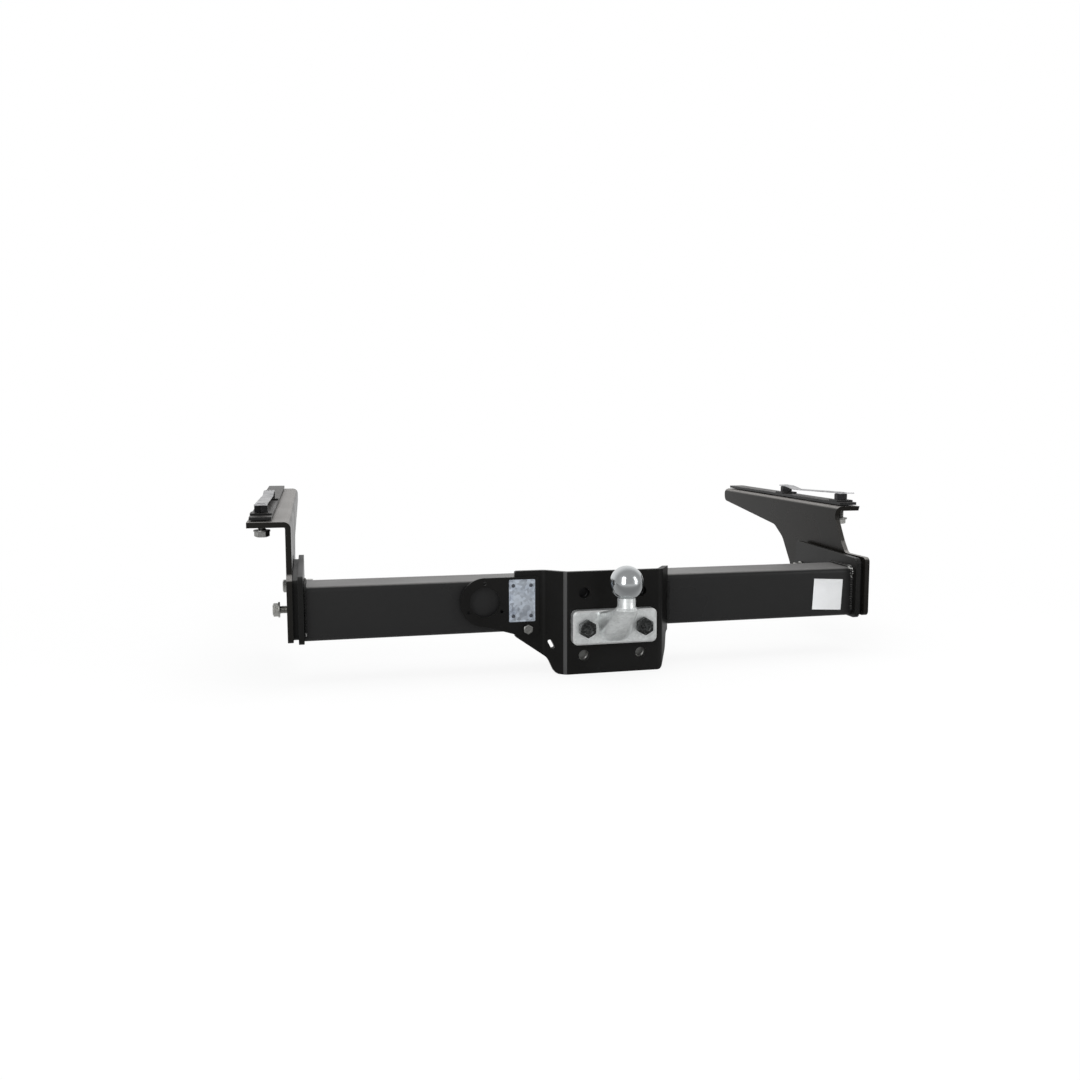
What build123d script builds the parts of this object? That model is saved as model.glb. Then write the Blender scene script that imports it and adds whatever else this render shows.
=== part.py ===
import os

from build123d import *

os.makedirs("parts", exist_ok=True)

# All sizes in millimetres. +X runs along the crossbar, +Y to the front of the vehicle, +Z up.
# The pieces are drawn about the middle of the crossbar and exported about the ball centre.

# Crossbar
tube_side = 80.0
tube_wall = 5.0
tube_corner_r = 8.0
tube_length = 876.0

# Tow ball forging
hitch_offset = 15.5
ball_r = 25.0
neck_r = 13.5
ball_reach = 56.0
ball_rise = 76.0
flange_width = 132.0
flange_height = 52.0
flange_thick = 16.0
flange_corner_r = 8.0
flange_bevel = 2.5
boss_width = 58.0
boss_foot_width = 50.0
boss_foot_r = 20.0
boss_top_r = 5.0
boss_rise = 36.0
collar_r = 17.5
collar_height = 5.5
boss_overlap = 2.0
hole_spacing = 90.0
bolt_row_z = -29.5

# Hitch bracket, a pressed hat section
bracket_wall = 8.0
bracket_bend_r = 12.0
bracket_depth = 34.0
bracket_left = 73.5
bracket_right = 78.5
bracket_top = 54.5
bracket_bottom = -103.0
bracket_corner_r = 9.0
bracket_edge_r = 3.0
bracket_run_out = 10.0
step_in = 5.0
step_z = -42.5
step_drop = 7.0
step_r = 6.0
skirt_r = 20.0
skirt_right_in = 8.0
skirt_right_rise = 28.0
skirt_left_in = 6.0
skirt_left_rise = 22.0
skirt_foot_out = 14.0
left_splay = 29.0
right_splay = 21.0
wing_width = 44.0
wing_low_z = -45.5
row_up = 51.0
row_down = 45.0
bracket_hole_r = 8.5
cable_slot_length = 14.0
cable_slot_width = 5.5
cable_slot_z = -58.0
cable_slot_in = 10.0
cable_slot_tilt = 25.0

# End plates and side arms
plate_thick = 8.0
plate_rear = 54.5
plate_front = 172.0
plate_bottom = -42.0
plate_top_rear = 57.0
plate_top_front = 63.0
plate_corner_r = 9.0
plate_low_front_z = -18.0
plate_low_y = 62.0
arm_thick = 8.0
arm_bend_r = 10.0
arm_flange_top = 135.0
foot_rear = 56.0
foot_bottom = -38.5
foot_front = 195.0
shoulder_z = 58.5
shoulder_corner_r = 8.0
arm_tip_z = 110.0
right_flange_width = 43.5
right_flange_near = 46.0
right_flange_far = 561.0
left_flange_width = 60.5
left_flange_near = -37.0
left_flange_far = 742.0
arm_tip_r = 12.0
web_low_y = 300.0
web_low_z = 80.5
web_bend_y = 263.0
web_bend_z = 60.0
web_straight_y = 229.0
web_straight_z = 17.0
web_bend_r = 40.0
web_low_r = 30.0
right_root_y = 14.0
right_waist_y = 29.0
right_waist_z = 77.0
right_neck_y = 54.0
right_neck_z = 117.0
left_root_y = -42.0
left_shoulder_drop = 6.0
root_r = 12.0
packing_thick = 7.0
packing_inset = 6.0

# Arm bolts
near_bolt_gap = 32.0
near_bolt_z = -10.0
far_bolt_gap = 108.0
far_bolt_z = 15.0
arm_bolt_length = 50.0
arm_bolt_slack = 13.5

# Chassis rail fixings
rail_gap = 2.3
bar_width = 31.0
bar_thick = 4.5
bar_corner_r = 4.0
bar_end_gap = 9.0
right_rail_in = 23.0
right_nut_near = 77.0
right_nut_spacing = 221.0
left_rail_in = 42.0
left_nut_near = 20.0
left_nut_spacing = 300.0
nut_plate_length = 36.0
nut_plate_thick = 3.0
rail_bolt_length = 40.0
right_rail_slack = 14.0
left_rail_slack = 8.0
strap_width = 17.0
strap_thick = 2.0
strap_sag = 4.5
strap_pad = 14.0
strap_ramp = 34.0
strap_tail = 19.0
strap_lift = 1.5
strap_bend_r = 12.0

# Fasteners
m12_r = 6.0
m12_flats = 19.0
m12_head = 7.5
m12_nut = 10.8
m12_washer_r = 12.0
m12_washer_thick = 2.5
m12_hole_r = 6.75
m16_r = 8.0
m16_flats = 24.0
m16_head = 10.0
m16_nut = 13.0
m8_r = 4.0
m8_flats = 13.0
m8_head = 5.3
thread_proud = 4.0
screw_fit = 0.1
pass_fit = 0.5
corner_ratio = 1.17
face_ratio = 0.95
bevel_slope = 0.577

# Socket plate, type plate and label
socket_plate_thick = 3.0
socket_reach = 46.0
socket_z = 9.0
socket_round_r = 37.0
socket_bore_r = 22.75
socket_screw_circle = 58.0
socket_screw_r = 2.75
socket_tab_gap = 1.5
socket_tab_foot = 4.0
socket_tab_low_z = -43.0
socket_tab_corner_r = 4.0
socket_bolt_in = 19.0
socket_bolt_z = -34.0
type_plate_width = 40.0
type_plate_height = 64.5
type_plate_thick = 1.0
type_plate_in = 10.3
type_plate_z = 10.0
rivet_r = 1.6
rivet_head_r = 2.8
rivet_head = 1.2
rivet_side_inset = 6.5
rivet_end_inset = 9.0
label_width = 52.0
label_height = 51.0
label_thick = 0.3
label_end_gap = 44.0
label_z = -2.5
label_tilt = -3.0

# Welds
weld_leg = 5.0

# Places that follow from the sizes above
half_side = tube_side / 2
half_length = tube_length / 2
flat_half = half_side - tube_corner_r
arm_inner = half_length + plate_thick + packing_thick
arm_outer = arm_inner + arm_thick
bracket_face = half_side + bracket_depth
flange_face = bracket_face + flange_thick
ball_y = -(flange_face + ball_reach)
ball_z = bolt_row_z + ball_rise
front_left_x = hitch_offset - bracket_left
front_right_x = hitch_offset + bracket_right
wing_face = half_side + bracket_wall
wing_right_x = front_left_x - left_splay
wing_left_x = wing_right_x - wing_width
wall_right_x = front_right_x + right_splay
near_bolt_y = half_side + near_bolt_gap
far_bolt_y = half_side + far_bolt_gap
socket_x = wing_left_x - socket_reach
socket_tab_low_x = wing_left_x + socket_tab_foot
socket_bolt_x = wing_left_x + socket_bolt_in
type_plate_x = wing_left_x + type_plate_in
label_x = half_length - label_end_gap
socket_tab_right = wing_right_x - bracket_bend_r / 2 - socket_tab_gap
bar_bottom = arm_flange_top + rail_gap
bar_top = bar_bottom + bar_thick
nut_seat = bar_top + nut_plate_thick
strap_z = nut_seat + m12_nut
arm_bolt_places = ((near_bolt_y, near_bolt_z), (far_bolt_y, far_bolt_z))
left_hole_x = hitch_offset - hole_spacing / 2
right_hole_x = hitch_offset + hole_spacing / 2
bracket_holes = [
    (x, z)
    for z in (bolt_row_z + row_up, bolt_row_z, bolt_row_z - row_down)
    for x in (left_hole_x, right_hole_x)
]
right_rail_x = arm_inner + right_rail_in
left_rail_x = arm_inner + left_rail_in
right_nuts = (right_nut_near, right_nut_near + right_nut_spacing)
left_nuts = (left_nut_near, left_nut_near + left_nut_spacing)
ball_bolt_holes = ((left_hole_x, bolt_row_z), (right_hole_x, bolt_row_z))
to_ball_centre = Pos(-hitch_offset, -ball_y, -ball_z)


# A flat outline from corners given as (across, up, corner radius)
def outline(corners):
    face = make_face(Polyline(*[(u, v) for u, v, r in corners], close=True))
    for u, v, r in corners:
        if r > 0:
            nearest = face.vertices().sort_by_distance(Vector(u, v, 0))[0]
            face = fillet(nearest, r)
    return face


# A slab seen from the front, from its back face towards the viewer
def front_slab(face, y_back, thick):
    return extrude(Plane.XZ.offset(-y_back) * face, thick)


# A slab seen from the side, from x_start towards +X
def side_slab(face, x_start, thick):
    return extrude(Plane.YZ.offset(x_start) * face, thick)


def ring(outer_r, inner_r, length):
    return extrude(Circle(outer_r) - Circle(inner_r), length)


# Cylinders that cut holes from the front through everything between two depths
def front_holes(places, radius, y_back, depth):
    return [front_slab(Pos(x, z) * Circle(radius), y_back, depth) for x, z in places]


# A hexagon with turned corners, bevelled on top and also below for a nut
def hexagon(flats, height, both_ends):
    corner_r = flats / 2 * corner_ratio
    face_r = flats / 2 * face_ratio
    drop = (corner_r - face_r) * bevel_slope
    profile = [(0, 0), (corner_r, 0), (corner_r, height - drop), (face_r, height), (0, height)]
    if both_ends:
        profile[1:2] = [(face_r, 0), (corner_r, drop)]
    turned = revolve(Plane.XZ * make_face(Polyline(*profile, close=True)), Axis.Z)
    return extrude(RegularPolygon(flats / 2, 6, major_radius=False), height) & turned


# A bolt with the underside of its head at zero and its shank running down
def bolt(radius, length, flats, head):
    shank = extrude(Circle(radius), -length)
    shank = chamfer(shank.edges().sort_by(Axis.Z)[0], radius / 8)
    return hexagon(flats, head, False) + shank


def nut(radius, flats, height):
    return hexagon(flats, height, True) - extrude(Circle(radius + screw_fit), height)


# A piece standing on a point with its own +Z turned to the given direction
def stand(piece, place, direction):
    return Plane(origin=place, z_dir=direction) * piece


def tube_solid():
    return side_slab(RectangleRounded(tube_side, tube_side, tube_corner_r), -half_length, tube_length)


def crossbar_tube():
    inner_side = tube_side - 2 * tube_wall
    bore = RectangleRounded(inner_side, inner_side, tube_corner_r - tube_wall)
    return tube_solid() - side_slab(bore, -half_length, tube_length)


# Side outline of an end plate, drawn in by the inset
def plate_outline(inset):
    return outline([
        (inset - plate_rear, plate_bottom + inset, plate_corner_r),
        (plate_low_y, plate_bottom + inset, plate_corner_r),
        (plate_front - inset, plate_low_front_z + inset, plate_corner_r),
        (plate_front - inset, plate_top_front - inset, plate_corner_r),
        (inset - plate_rear, plate_top_rear - inset, plate_corner_r),
    ])


# An upright plate with the two arm bolt holes, drawn for the right-hand side
def bolted_plate(inset, x_start, thick):
    plate = side_slab(plate_outline(inset), x_start, thick)
    for y, z in arm_bolt_places:
        plate -= side_slab(Pos(y, z) * Circle(m12_hole_r), x_start, thick)
    return plate


# The plate welded over a tube end
def end_plate():
    return bolted_plate(0, half_length, plate_thick)


# The plate that fills the space between an end plate and its arm
def packing_plate():
    return bolted_plate(packing_inset, half_length + plate_thick, packing_thick)


# A bent plate arm: an L section cut to its side outline, drawn for the right-hand side
def side_arm(rear_corners, tip_corners, width, rail_x, nut_places):
    near = rear_corners[-1][0]
    far = tip_corners[0][0]
    section = [
        (arm_inner, foot_bottom - 1, 0),
        (arm_outer, foot_bottom - 1, 0),
        (arm_outer, arm_flange_top - arm_thick, arm_bend_r - arm_thick),
        (arm_inner + width, arm_flange_top - arm_thick, 0),
        (arm_inner + width, arm_flange_top, 0),
        (arm_inner, arm_flange_top, arm_bend_r),
    ]
    reach = far + foot_rear
    blank = front_slab(outline(section), far, reach)
    side = outline(rear_corners + tip_corners + foot_corners())
    arm = blank & side_slab(side, arm_inner, width)
    tips = [
        edge
        for edge in arm.edges().filter_by(Axis.Z)
        if edge.center().X > arm_inner + width - 1 and (edge.center().Y > far - 1 or edge.center().Y < near + 1)
    ]
    arm = fillet(tips, arm_tip_r / 2)
    for y, z in arm_bolt_places:
        arm -= side_slab(Pos(y, z) * Circle(m12_hole_r), arm_inner, arm_thick)
    for y in nut_places:
        hole = Pos(rail_x, y) * Circle(m12_hole_r)
        arm -= extrude(Plane.XY.offset(arm_flange_top) * hole, -arm_thick)
    return arm


# The hidden front edge and the bottom of an arm's foot, the same on both sides
def foot_corners():
    return [
        (web_low_y, web_low_z, web_low_r),
        (web_bend_y, web_bend_z, web_bend_r),
        (web_straight_y, web_straight_z, web_bend_r),
        (foot_front, foot_bottom, shoulder_corner_r),
        (-foot_rear, foot_bottom, shoulder_corner_r),
    ]


def right_side_arm():
    rear = [
        (-foot_rear, shoulder_z, shoulder_corner_r),
        (right_root_y, shoulder_z, root_r),
        (right_waist_y, right_waist_z, 2 * root_r),
        (right_neck_y, right_neck_z, root_r),
        (right_flange_near, arm_flange_top, 0),
    ]
    tip = [
        (right_flange_far, arm_flange_top, 0),
        (right_flange_far, arm_tip_z, arm_tip_r),
    ]
    return side_arm(rear, tip, right_flange_width, right_rail_x, right_nuts)


def left_side_arm():
    rear = [
        (-foot_rear, shoulder_z - left_shoulder_drop, shoulder_corner_r),
        (left_root_y, shoulder_z, root_r),
        (left_flange_near, arm_flange_top, 0),
    ]
    tip = [
        (left_flange_far, arm_flange_top, 0),
        (left_flange_far, arm_tip_z, arm_tip_r),
    ]
    arm = side_arm(rear, tip, left_flange_width, left_rail_x, left_nuts)
    return mirror(arm, Plane.YZ)


# A pressed hat: wing on the tube face, splayed wall, front plate, splayed wall to the tube
def hitch_bracket():
    right_run = bracket_run_out * right_splay / bracket_depth
    right_end = wall_right_x + bracket_run_out
    path = FilletPolyline(
        (wing_left_x, -wing_face),
        (wing_right_x, -wing_face),
        (front_left_x, -bracket_face),
        (front_right_x, -bracket_face),
        (wall_right_x + right_run, -half_side + bracket_run_out),
        radius=bracket_bend_r,
    )
    ribbon = make_face(offset(path, bracket_wall, side=Side.LEFT))
    hat = extrude(Plane.XY.offset(bracket_bottom) * ribbon, bracket_top - bracket_bottom)
    front = outline([
        (wing_left_x, bracket_top, bracket_edge_r),
        (right_end, bracket_top, 0),
        (right_end, step_z, 0),
        (wall_right_x - step_in, step_z - step_drop, step_r),
        (wall_right_x - skirt_right_in, bracket_bottom + skirt_right_rise, skirt_r),
        (front_right_x, bracket_bottom, bracket_corner_r),
        (front_left_x - skirt_foot_out, bracket_bottom, bracket_corner_r),
        (wing_right_x + skirt_left_in, bracket_bottom + skirt_left_rise, skirt_r),
        (wing_left_x, wing_low_z, bracket_edge_r),
    ])
    hat = hat & front_slab(front, -half_side, bracket_face)
    for hole in front_holes(bracket_holes, bracket_hole_r, -half_side, bracket_face):
        hat -= hole
    socket_tap = front_holes([(socket_bolt_x, socket_bolt_z)], m8_r + screw_fit, -half_side, bracket_face)
    hat -= socket_tap[0]
    slot_x = wing_right_x + cable_slot_in
    slot = Pos(slot_x, cable_slot_z) * Rot(0, 0, 90 + cable_slot_tilt) * SlotOverall(cable_slot_length, cable_slot_width)
    return hat - front_slab(slot, -half_side, bracket_face)


def bracket_nuts():
    back = bracket_face - bracket_wall
    return [stand(nut(m16_r, m16_flats, m16_nut), (x, -back, z), (0, 1, 0)) for x, z in bracket_holes]


# The forging: flange, a boss that runs from a U on the flange up to the collar, neck and ball
def tow_ball():
    flange_face_outline = RectangleRounded(flange_width, flange_height, flange_corner_r)
    flange = front_slab(Pos(hitch_offset, bolt_row_z) * flange_face_outline, -bracket_face, flange_thick)
    flange = chamfer(flange.faces().sort_by(Axis.Y)[0].edges(), flange_bevel)
    collar_z = bolt_row_z + boss_rise
    low = flange_height / 2 - flange_bevel
    root = outline([
        (-boss_width / 2, low, boss_top_r),
        (boss_width / 2, low, boss_top_r),
        (boss_foot_width / 2, -low, boss_foot_r),
        (-boss_foot_width / 2, -low, boss_foot_r),
    ])
    root_origin = (hitch_offset, boss_overlap - flange_face, bolt_row_z)
    root_plane = Plane(origin=root_origin, x_dir=(1, 0, 0), z_dir=(0, -1, 0))
    collar_plane = Plane(origin=(hitch_offset, ball_y, collar_z))
    collar = RectangleRounded(2 * collar_r, 2 * collar_r, collar_r * 0.99)
    boss = loft([collar_plane * collar, root_plane * root], ruled=True)
    flare = collar_plane * Cone(collar_r, neck_r, collar_height, align=(Align.CENTER, Align.CENTER, Align.MIN))
    neck_plane = Plane(origin=(hitch_offset, ball_y, collar_z - boss_overlap))
    neck = extrude(neck_plane * Circle(neck_r), ball_z - collar_z + boss_overlap)
    body = flange + boss + neck + flare + Pos(hitch_offset, ball_y, ball_z) * Sphere(ball_r)
    for hole in front_holes(ball_bolt_holes, bracket_hole_r, -bracket_face, flange_thick):
        body -= hole
    return body


def ball_bolts():
    length = flange_thick + bracket_wall + m16_nut + thread_proud
    return [
        stand(bolt(m16_r, length, m16_flats, m16_head), (x, -flange_face, z), (0, -1, 0)) for x, z in ball_bolt_holes
    ]


# Plate that carries the trailer socket beside the bracket
def socket_plate():
    face = outline([
        (socket_x, socket_z + socket_round_r, 0),
        (socket_tab_right, socket_z + socket_round_r, socket_tab_corner_r),
        (socket_tab_right, socket_tab_low_z, socket_tab_corner_r),
        (socket_tab_low_x, socket_tab_low_z, socket_tab_corner_r),
        (socket_x, socket_z - socket_round_r, 0),
    ])
    face += Pos(socket_x, socket_z) * Circle(socket_round_r)
    face -= Pos(socket_x, socket_z) * Circle(socket_bore_r)
    screws = PolarLocations(socket_screw_circle / 2, 3, 90)
    face -= Pos(socket_x, socket_z) * screws * Circle(socket_screw_r)
    face -= Pos(socket_bolt_x, socket_bolt_z) * Circle(m8_r + pass_fit)
    for x, z in rivet_places():
        face -= Pos(x, z) * Circle(rivet_r + screw_fit)
    return front_slab(face, -wing_face, socket_plate_thick)


def socket_bolt():
    seat = wing_face + socket_plate_thick
    length = bracket_wall + socket_plate_thick - pass_fit
    return stand(bolt(m8_r, length, m8_flats, m8_head), (socket_bolt_x, -seat, socket_bolt_z), (0, -1, 0))


def rivet_places():
    across = type_plate_width / 2 - rivet_side_inset
    up = type_plate_height / 2 - rivet_end_inset
    return [(type_plate_x + i * across, type_plate_z + j * up) for i in (-1, 1) for j in (-1, 1)]


def type_plate():
    face = Pos(type_plate_x, type_plate_z) * RectangleRounded(type_plate_width, type_plate_height, 1.5)
    for x, z in rivet_places():
        face -= Pos(x, z) * Circle(rivet_r + screw_fit)
    return front_slab(face, -wing_face - socket_plate_thick, type_plate_thick)


def type_plate_rivets():
    front = wing_face + socket_plate_thick + type_plate_thick
    shank = extrude(Circle(rivet_r), -(socket_plate_thick + type_plate_thick))
    head = extrude(Circle(rivet_head_r), rivet_head)
    head = fillet(head.edges().sort_by(Axis.Z)[-1], rivet_head * 0.8)
    return [stand(head + shank, (x, -front, z), (0, -1, 0)) for x, z in rivet_places()]


def label():
    face = Pos(label_x, label_z) * Rot(0, 0, label_tilt) * RectangleRounded(label_width, label_height, 1.5)
    return front_slab(face, -half_side, label_thick)


# Bolts through one arm, packing and end plate, drawn for the right-hand side
def arm_bolts(near_slack):
    seat = arm_outer + m12_washer_thick
    piece = bolt(m12_r, arm_bolt_length, m12_flats, m12_head)
    slacks = (near_slack, 0)
    return [stand(piece, (seat + s, y, z), (1, 0, 0)) for (y, z), s in zip(arm_bolt_places, slacks)]


def arm_washers(near_slack):
    piece = ring(m12_washer_r, m12_r + pass_fit, m12_washer_thick)
    slacks = (near_slack, 0)
    outside = [stand(piece, (arm_outer + s, y, z), (1, 0, 0)) for (y, z), s in zip(arm_bolt_places, slacks)]
    inside = [stand(piece, (half_length, y, z), (-1, 0, 0)) for y, z in arm_bolt_places]
    return outside + inside


def arm_nuts():
    piece = nut(m12_r, m12_flats, m12_nut)
    return [stand(piece, (half_length - m12_washer_thick, y, z), (-1, 0, 0)) for y, z in arm_bolt_places]


# Chassis rail fixings, drawn for the right-hand side; the bolts hang loose in their nuts
def rail_bolts(x, places, slack):
    seat = arm_flange_top - arm_thick - m12_washer_thick - slack
    piece = bolt(m12_r, rail_bolt_length, m12_flats, m12_head)
    return [stand(piece, (x, y, seat), (0, 0, -1)) for y in places]


def rail_washers(x, places, slack):
    piece = ring(m12_washer_r, m12_r + pass_fit, m12_washer_thick)
    return [stand(piece, (x, y, arm_flange_top - arm_thick - slack), (0, 0, -1)) for y in places]


def rail_nuts(x, places):
    piece = nut(m12_r, m12_flats, m12_nut)
    return [stand(piece, (x, y, nut_seat), (0, 0, 1)) for y in places]


def nut_bar(x, near, far, places):
    face = Pos(x, (near + far) / 2) * RectangleRounded(bar_width, far - near, bar_corner_r)
    for y in places:
        face -= Pos(x, y) * Circle(m12_r + pass_fit)
    return extrude(Plane.XY.offset(bar_bottom) * face, bar_thick)


# Small plates between the bar and each nut
def nut_plates(x, places):
    face = RectangleRounded(bar_width, nut_plate_length, bar_corner_r) - Circle(m12_r + pass_fit)
    plate = extrude(face, nut_plate_thick)
    return [Pos(x, y, bar_top) * plate for y in places]


# A thin strip laid over both nuts that dips between them and ends in a raised tail
def nut_strap(x, places):
    first, last = places
    path = FilletPolyline(
        (last + strap_pad, strap_z),
        (last - strap_pad, strap_z),
        (last - strap_pad - strap_ramp, strap_z - strap_sag),
        (first + strap_pad, strap_z),
        (first - strap_pad, strap_z),
        (first - strap_pad - strap_tail, strap_z + strap_lift),
        radius=strap_bend_r,
    )
    ribbon = make_face(offset(path, strap_thick, side=Side.RIGHT))
    strip = side_slab(ribbon, x - strap_width / 2, strap_width)
    for y in places:
        strip -= extrude(Plane.XY.offset(strap_z - strap_sag) * Pos(x, y) * Circle(m12_r + pass_fit), 4 * strap_sag)
    return strip


# The fillet weld round one tube end, drawn for the right-hand end
def end_weld():
    wide = tube_side + 2 * weld_leg
    foot = RectangleRounded(wide, wide, tube_corner_r + weld_leg)
    against_plate = Plane(origin=(half_length, 0, 0), x_dir=(0, 1, 0), z_dir=(-1, 0, 0))
    bead = extrude(against_plate * foot, weld_leg, taper=45) - tube_solid()
    below = Pos(half_length, 0, -tube_side - flat_half) * Box(4 * weld_leg, 2 * tube_side, 2 * tube_side)
    return bead - below


# Fillet welds that join the hat section to the tube
def bracket_welds():
    lean = weld_leg * right_splay / bracket_depth
    left = [(wing_left_x, -half_side), (wing_left_x - weld_leg, -half_side), (wing_left_x, -half_side - weld_leg)]
    right = [
        (wall_right_x, -half_side),
        (wall_right_x + weld_leg, -half_side),
        (wall_right_x - lean, -half_side - weld_leg),
    ]
    beads = []
    for points in (left, right):
        face = make_face(Polyline(*points, close=True))
        beads.append(extrude(Plane.XY.offset(-flat_half) * face, 2 * flat_half))
    groove = [
        (-half_side, flat_half),
        (-half_side, half_side + weld_leg),
        (-flat_half, half_side),
    ]
    face = make_face(Polyline(*groove, close=True))
    seam = side_slab(face, wing_left_x + weld_leg, wing_width - 2 * weld_leg)
    beads.append(seam)
    return [bead - tube_solid() for bead in beads]


def save(name, pieces):
    if not isinstance(pieces, list):
        pieces = [pieces]
    solids = [solid for piece in pieces for solid in (to_ball_centre * piece).solids()]
    node = solids[0] if len(solids) == 1 else Compound(children=solids)
    node.label = name
    export_step(node, f"parts/{name}.step")


# Right-hand pieces are drawn first and mirrored for the left where the two sides are alike
def mirrored(pieces):
    return [mirror(piece, Plane.YZ) for piece in pieces]


save("crossbar_tube", crossbar_tube())
save("right_end_plate", end_plate())
save("left_end_plate", mirror(end_plate(), Plane.YZ))
save("end_plate_welds", [end_weld(), mirror(end_weld(), Plane.YZ)])
save("right_side_arm", right_side_arm())
save("left_side_arm", left_side_arm())
save("hitch_bracket", hitch_bracket())
save("bracket_welds", bracket_welds())
save("bracket_nuts", bracket_nuts())
save("tow_ball", tow_ball())
save("ball_bolts", ball_bolts())
save("socket_plate", socket_plate())
save("socket_bolt", socket_bolt())
save("type_plate", type_plate())
save("type_plate_rivets", type_plate_rivets())
save("label", label())
save("right_arm_bolts", arm_bolts(0))
save("right_arm_washers", arm_washers(0))
save("right_arm_nuts", arm_nuts())
save("right_packing_plate", packing_plate())
save("left_arm_bolts", mirrored(arm_bolts(arm_bolt_slack)))
save("left_arm_washers", mirrored(arm_washers(arm_bolt_slack)))
save("left_arm_nuts", mirrored(arm_nuts()))
save("left_packing_plate", mirrored(packing_plate()))
right_bar = nut_bar(right_rail_x, right_flange_near, right_flange_far - bar_end_gap, right_nuts)
left_bar = nut_bar(left_rail_x, left_flange_near + bar_end_gap, left_flange_far - bar_end_gap, left_nuts)
save("right_rail_bolts", rail_bolts(right_rail_x, right_nuts, right_rail_slack))
save("right_rail_washers", rail_washers(right_rail_x, right_nuts, right_rail_slack))
save("right_rail_nuts", rail_nuts(right_rail_x, right_nuts))
save("right_nut_bar", right_bar)
save("right_nut_plates", nut_plates(right_rail_x, right_nuts))
save("right_nut_strap", nut_strap(right_rail_x, right_nuts))
save("left_rail_bolts", mirrored(rail_bolts(left_rail_x, left_nuts, left_rail_slack)))
save("left_rail_washers", mirrored(rail_washers(left_rail_x, left_nuts, left_rail_slack)))
save("left_rail_nuts", mirrored(rail_nuts(left_rail_x, left_nuts)))
save("left_nut_bar", mirror(left_bar, Plane.YZ))
save("left_nut_plates", mirrored(nut_plates(left_rail_x, left_nuts)))
save("left_nut_strap", mirror(nut_strap(left_rail_x, left_nuts), Plane.YZ))
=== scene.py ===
import math

import bpy
from mathutils import Matrix, Vector


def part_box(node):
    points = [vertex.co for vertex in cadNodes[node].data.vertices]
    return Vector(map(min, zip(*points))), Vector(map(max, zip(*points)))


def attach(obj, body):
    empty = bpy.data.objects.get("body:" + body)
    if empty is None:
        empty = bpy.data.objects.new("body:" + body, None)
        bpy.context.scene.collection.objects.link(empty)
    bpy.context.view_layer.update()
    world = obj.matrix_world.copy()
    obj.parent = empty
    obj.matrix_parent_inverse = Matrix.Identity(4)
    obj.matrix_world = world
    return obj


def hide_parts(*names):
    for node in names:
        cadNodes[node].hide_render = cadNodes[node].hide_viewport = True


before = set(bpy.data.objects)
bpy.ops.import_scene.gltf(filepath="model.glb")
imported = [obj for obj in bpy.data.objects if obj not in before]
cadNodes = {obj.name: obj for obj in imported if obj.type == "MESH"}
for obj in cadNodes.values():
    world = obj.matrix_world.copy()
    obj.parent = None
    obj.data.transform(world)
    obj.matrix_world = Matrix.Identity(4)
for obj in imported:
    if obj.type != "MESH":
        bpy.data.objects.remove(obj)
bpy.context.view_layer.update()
scene = bpy.context.scene
print("frame loaded with", len(cadNodes), "nodes")


# Small helpers for node trees

def addNode(tree, kind, **settings):
    node = tree.nodes.new(kind)
    for name, value in settings.items():
        setattr(node, name, value)
    return node


def noise(tree, coords, scale, detail=3.0, rough=0.5):
    node = addNode(tree, "ShaderNodeTexNoise")
    node.inputs["Scale"].default_value = scale
    node.inputs["Detail"].default_value = detail
    node.inputs["Roughness"].default_value = rough
    tree.links.new(coords, node.inputs["Vector"])
    return node.outputs["Fac"]


def remap(tree, value, low, high, toLow, toHigh):
    node = addNode(tree, "ShaderNodeMapRange")
    node.inputs["From Min"].default_value = low
    node.inputs["From Max"].default_value = high
    node.inputs["To Min"].default_value = toLow
    node.inputs["To Max"].default_value = toHigh
    tree.links.new(value, node.inputs["Value"])
    return node.outputs["Result"]


def sums(tree, kind, first, second):
    node = addNode(tree, "ShaderNodeMath", operation=kind)
    for slot, value in zip(node.inputs, (first, second)):
        if isinstance(value, (int, float)):
            slot.default_value = value
        else:
            tree.links.new(value, slot)
    return node.outputs[0]


def mixColours(tree, factor, first, second):
    node = addNode(tree, "ShaderNodeMix", data_type="RGBA")
    for slot, value in ((node.inputs[0], factor), (node.inputs[6], first), (node.inputs[7], second)):
        if isinstance(value, (int, float)):
            slot.default_value = value
        elif isinstance(value, tuple):
            slot.default_value = (*value, 1.0)
        else:
            tree.links.new(value, slot)
    return node.outputs[2]


def stretched(tree, coords, scale):
    node = addNode(tree, "ShaderNodeMapping")
    node.inputs["Scale"].default_value = scale
    tree.links.new(coords, node.inputs["Vector"])
    return node.outputs["Vector"]


def newGroup(name, inputs, outputs):
    tree = bpy.data.node_groups.new(name, "ShaderNodeTree")
    for label, kind, value in inputs:
        socket = tree.interface.new_socket(name=label, in_out="INPUT", socket_type=kind)
        socket.default_value = value
    for label, kind in outputs:
        tree.interface.new_socket(name=label, in_out="OUTPUT", socket_type=kind)
    given, made = addNode(tree, "NodeGroupInput"), addNode(tree, "NodeGroupOutput")
    coords = addNode(tree, "ShaderNodeTexCoord").outputs["Object"]
    return tree, given.outputs, made.inputs, coords


floatKind, colourKind = "NodeSocketFloat", "NodeSocketColor"


paintLook = {"cloudScale": 9.0, "clouds": (0.35, 0.7), "cloudShare": 0.55, "worn": (0.018, 0.0185, 0.018),
             "speckScale": 160.0, "specks": (0.30, 0.75), "dustSheenShare": (0.50, 0.72), "dustSheenRamp": 0.25,
             "cloudGloss": (-0.05, 0.06), "dustGloss": 0.3, "peelDetail": 2.0, "grainHeight": 0.3}
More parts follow.
